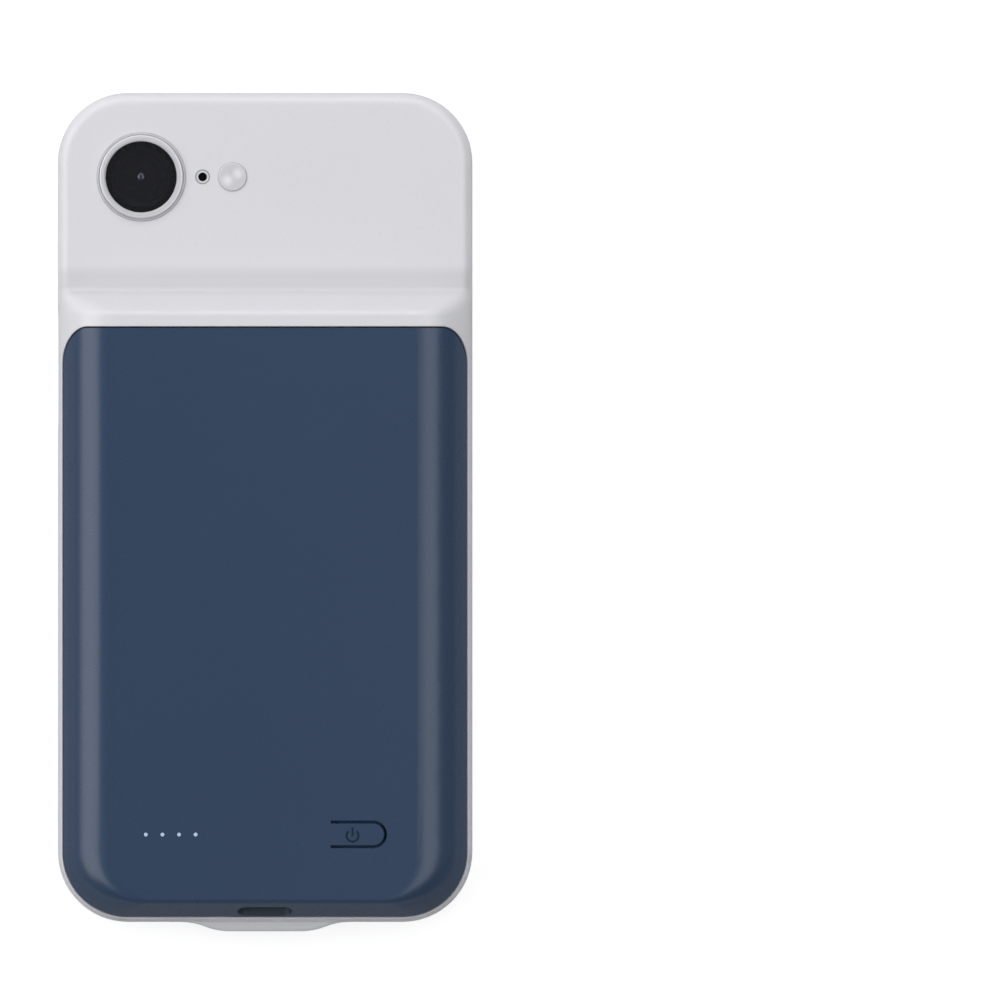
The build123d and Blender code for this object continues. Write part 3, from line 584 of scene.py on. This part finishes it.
def contact_row(name, front_y, back_y, surface_z, rise):
    """A row of contacts along X on a surface, from its front to its back; a negative rise hangs down."""
    length = back_y - front_y
    row = add("cube", name, size=1, location=(-(CONTACT_COUNT - 1) * CONTACT_PITCH / 2,
                                              (front_y + back_y) / 2, surface_z + rise / 2))
    bpy.ops.transform.resize(value=(CONTACT_WIDTH, abs(length), abs(rise)))
    pick_faces(row, lambda middle, normal: abs(middle.y - front_y) < 1e-6)
    bpy.ops.mesh.extrude_region_move(
        TRANSFORM_OT_translate={"value": (0, -math.copysign(RAMP_LENGTH, length), 0)})
    bpy.ops.transform.resize(value=RAMP_TAPER)
    bpy.ops.object.mode_set(mode="OBJECT")
    across = row.modifiers.new("across", "ARRAY")
    across.count = CONTACT_COUNT
    across.use_relative_offset = False
    across.use_constant_offset = True
    across.constant_offset_displace = (CONTACT_PITCH, 0, 0)
    bpy.ops.object.modifier_apply(modifier="across")
    bpy.ops.object.mode_set(mode="EDIT")
    finish_piece(row, "contact_gold", "case")


tongue_low, tongue_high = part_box("usb_port_tongue")
TONGUE_Z = (tongue_low[2] + tongue_high[2]) / 2
TONGUE_HALF = 0.35 * MM
PORT_FRONT, PORT_BACK, PORT_RISE = tongue_low[1] + 0.8 * MM, tongue_high[1] - 1.4 * MM, 0.06 * MM
for name, side in (("port_contacts_upper", 1), ("port_contacts_lower", -1)):
    contact_row(name, PORT_FRONT, PORT_BACK, TONGUE_Z + side * TONGUE_HALF, side * PORT_RISE)

plug_low, plug_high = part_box("plug_liner")
PLUG_Z = (plug_low[2] + plug_high[2]) / 2
MOUTH_HALF = 0.4 * MM
PLUG_FRONT, PLUG_BACK, PLUG_RISE = plug_high[1] - 1.2 * MM, plug_high[1] - 5.4 * MM, 0.08 * MM
for name, side in (("plug_contacts_upper", 1), ("plug_contacts_lower", -1)):
    contact_row(name, PLUG_FRONT, PLUG_BACK, PLUG_Z + side * MOUTH_HALF, -side * PLUG_RISE)

# %% [markdown]
# ## Charge lights
# Four points of a hazy guide come through the cover and glow a cool white. Only the tips glow, so the
# glow follows the height on the guide.

# %% Charge lights
GUIDE_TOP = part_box("light_guide")[1][2]
TIP_DEPTH = 0.5 * MM
shader, place = start_finish("lit_guide", IOR=1.49, Emission_Strength=1.0)
tip = place.axis("Z").rise(GUIDE_TOP - TIP_DEPTH, GUIDE_TOP)
haze = place.noise(0.3 * MM)
feed(shader,
     Base_Color=haze.mix((0.36, 0.42, 0.50, 1), (0.44, 0.50, 0.58, 1)),
     Emission_Color=tip.mix((0, 0, 0, 1), (0.08, 0.14, 0.26, 1)),
     Roughness=0.2 + 0.1 * haze)
dress("lit_guide", "light_guide")

# %% [markdown]
# ## Inside pieces
# The pieces inside hardly show, but each still has its own finish: bright steel round the plug and
# blackened steel round the port, black plastic in them, foam, rubber, ceramic and so on. Most are one
# mottled recipe with its own colours, patch size and depth, so a function makes them.


# %% Mottled finishes
def mottled(name, low, high, patch, roughness, depth, **constants):
    """A finish between two colours in patches, with matching dull spots and relief."""
    shader, place = start_finish(name, **constants)
    patches = place.noise(patch, 4.0)
    feed(shader,
         Base_Color=patches.mix((*low, 1), (*high, 1)),
         Roughness=roughness + 0.15 * patches,
         Normal=patches.relief(depth))


mottled("drawn_steel", (0.50, 0.50, 0.51), (0.60, 0.60, 0.61), 0.3 * MM, 0.22, 0.002 * MM, Metallic=1.0)
dress("drawn_steel", "plug_shell", "switch_body")
mottled("blackened_steel", (0.035, 0.038, 0.044), (0.055, 0.058, 0.066), 0.3 * MM, 0.3, 0.002 * MM,
        Metallic=1.0)
dress("blackened_steel", "usb_port_shell")
mottled("black_moulding", (0.010, 0.010, 0.011), (0.020, 0.020, 0.022), 0.2 * MM, 0.42, 0.003 * MM)
dress("black_moulding", "usb_port_tongue", "plug_liner", "switch_plunger", "charge_chip", "boost_chip")
mottled("foam_pad", (0.035, 0.035, 0.038), (0.07, 0.07, 0.075), 0.25 * MM, 0.8, 0.08 * MM)
dress("foam_pad", "cell_foam")
mottled("seal_rubber", (0.025, 0.060, 0.150), (0.035, 0.075, 0.180), 0.2 * MM, 0.6, 0.004 * MM)
dress("seal_rubber", "button_seal")
mottled("ferrite", (0.045, 0.045, 0.05), (0.08, 0.08, 0.085), 0.15 * MM, 0.55, 0.01 * MM)
dress("ferrite", "power_inductor")
mottled("ceramic", (0.30, 0.22, 0.15), (0.38, 0.29, 0.20), 0.2 * MM, 0.4, 0.004 * MM)
dress("ceramic", "filter_capacitor_1", "filter_capacitor_2", "filter_capacitor_3")
mottled("lamp_resin", (0.70, 0.68, 0.52), (0.82, 0.80, 0.66), 0.2 * MM, 0.25, 0.003 * MM)
dress("lamp_resin", *(f"indicator_lamp_{number}" for number in range(1, 5)))
mottled("ribbon_film", (0.30, 0.14, 0.03), (0.38, 0.19, 0.05), 0.8 * MM, 0.3, 0.004 * MM)
dress("ribbon_film", "plug_ribbon")
mottled("clear_tape", (0.50, 0.48, 0.42), (0.60, 0.58, 0.52), 1.5 * MM, 0.35, 0.01 * MM)
dress("clear_tape", "cell_tape_left", "cell_tape_right")
mottled("red_sleeve", (0.42, 0.012, 0.012), (0.52, 0.022, 0.018), 0.5 * MM, 0.38, 0.004 * MM)
dress("red_sleeve", "lead_positive")
mottled("black_sleeve", (0.012, 0.012, 0.013), (0.022, 0.022, 0.024), 0.5 * MM, 0.38, 0.004 * MM)
dress("black_sleeve", "lead_negative")

# %% [markdown]
# ## Cell foil and circuit boards
# The pouch is bright foil with long soft creases, so its noise is stretched along the cell. The boards
# are green lacquer over copper tracks: narrow bands in both directions, broken up by a coarse noise,
# show as a lighter green.

# %% Foil and boards
shader, place = start_finish("pouch_foil", Metallic=0.9)
creases = place.stretched((1, 0.25, 1)).noise(5 * MM, 4.0)
feed(shader,
     Base_Color=creases.mix((0.52, 0.53, 0.55, 1), (0.66, 0.67, 0.69, 1)),
     Roughness=0.3 + 0.15 * creases,
     Normal=creases.relief(0.1 * MM))
dress("pouch_foil", "battery_cell")

TRACK_SCALE = 1 / (9.4 * MM)
shader, place = start_finish("green_board", IOR=1.5, Coat_Weight=0.3)
runs = [place.node("ShaderNodeTexWave", {"bands_direction": way},
                   {"Vector": place, "Scale": TRACK_SCALE, "Distortion": 0.0}, "Fac").rise(0.72, 0.8)
        for way in ("X", "Y")]
district = place.noise(4 * MM, 0.0).rise(0.48, 0.52)
tracks = runs[0] * district + runs[1] * (1 - district)
feed(shader,
     Base_Color=tracks.mix((0.010, 0.07, 0.028, 1), (0.022, 0.14, 0.05, 1)),
     Roughness=0.35 + 0.1 * place.noise(0.6 * MM),
     Normal=tracks.relief(0.02 * MM))
dress("green_board", "main_board", "protection_board", "plug_board")

# %% [markdown]
# ## Floor and light
# The case lies on a white table under three soft boxes. The left one stands low and makes the broad band
# on the left shoulder of the cover, the right one hangs higher, and one beyond the top catches the edge
# of the ramp. The world is a plain, cool grey that fills the rest. The table is a white surface that
# still takes the shadow close to the case, and further out it is simply white to the eye and in
# reflections. It throws light back onto the sides of the case, and inside the open front it stays dark,
# as it would.

# %% Floor
FLOOR_SIZE = 40.0
WHITE_FROM, WHITE_BY = 0.13, 0.45
ROOM_X, ROOM_Y = (cad_box[1][i] - 3.5 * MM for i in (0, 1))
ROOM_CORNER, ROOM_SOFT = 4.5 * MM, 1 * MM
TABLE_GREY, TABLE_WHITE = 0.42, 0.8
EYE_LIFT, FULL_WHITE = 0.74, 1.0

bpy.ops.object.mode_set(mode="OBJECT")
bpy.ops.object.select_all(action="DESELECT")
bpy.ops.mesh.primitive_plane_add(size=FLOOR_SIZE)
floor = bpy.context.object
floor.name = "floor"

table = bpy.data.materials.new("white_table")
table.use_nodes = True
table.node_tree.nodes.clear()
start = Wire(table.node_tree)
place = start.node("ShaderNodeTexCoord", out="Object")
camera_ray = start.node("ShaderNodeLightPath", out="Is Camera Ray")
soft_ray = start.node("ShaderNodeLightPath", out="Is Diffuse Ray")
seen = camera_ray
for kind in ("Is Glossy Ray", "Is Transmission Ray"):
    seen = seen.maths("MAXIMUM", seen, start.node("ShaderNodeLightPath", out=kind))
far = place.length().rise(WHITE_FROM, WHITE_BY)
across, along = (start.maths("ABSOLUTE", place.axis(name)) for name in "XY")
outside = across.rise(ROOM_X - ROOM_SOFT, ROOM_X)
for value, edge in ((along, ROOM_Y), (across + along, ROOM_X + ROOM_Y - ROOM_CORNER)):
    outside = start.maths("MAXIMUM", outside, value.rise(edge - ROOM_SOFT, edge))
grey, white = (start.node("ShaderNodeBsdfDiffuse", None, {"Color": (tone, tone, tone, 1)})
               for tone in (TABLE_GREY, TABLE_WHITE))
lift, plain = (start.node("ShaderNodeEmission", None, {"Color": (1, 1, 1, 1), "Strength": strength})
               for strength in (EYE_LIFT, FULL_WHITE))
lit = start.node("ShaderNodeMixShader", None, {0: soft_ray, 1: grey, 2: white})
lifted = start.node("ShaderNodeAddShader", None, {0: lit, 1: lift})
near = start.node("ShaderNodeMixShader", None, {0: camera_ray * outside, 1: lit, 2: lifted})
whole = start.node("ShaderNodeMixShader", None, {0: far * seen, 1: near, 2: plain})
output = table.node_tree.nodes.new("ShaderNodeOutputMaterial")
table.node_tree.links.new(whole.socket, output.inputs["Surface"])
floor.data.materials.append(table)
print("floor of", FLOOR_SIZE, "m")

# %% Lights
WORLD_STRENGTH = 0.18
WORLD_TINT = (0.95, 0.99, 1.04, 1)
world = bpy.data.worlds.new("studio")
world.use_nodes = True
background = world.node_tree.nodes["Background"]
background.inputs["Color"].default_value = WORLD_TINT
background.inputs["Strength"].default_value = WORLD_STRENGTH
bpy.context.scene.world = world


def softbox(name, towards, lean, width, length, brightness, up=0.0, distance=0.9):
    """A soft box on a side, in degrees from +X, leaning from overhead, and moved up the picture."""
    data = bpy.data.lights.new(name, "AREA")
    data.shape = "RECTANGLE"
    data.size = width
    data.size_y = length
    data.energy = brightness * math.pi * width * length
    box = bpy.data.objects.new(name, data)
    bpy.context.collection.objects.link(box)
    side, tilt = math.radians(towards), math.radians(lean)
    box.location = (distance * math.sin(tilt) * math.cos(side),
                    distance * math.sin(tilt) * math.sin(side) + up, distance * math.cos(tilt))
    box.rotation_euler = (0, tilt, side)
    box.visible_camera = False
    print(name, "at", [round(value, 2) for value in box.location])


softbox("left_box", towards=180, lean=50.5, width=0.62, length=1.2, brightness=2.4, up=0.1)
softbox("right_box", towards=0, lean=28.5, width=0.54, length=1.13, brightness=1.75, up=0.135)
softbox("far_box", towards=90, lean=58, width=0.45, length=1.15, brightness=2.1)
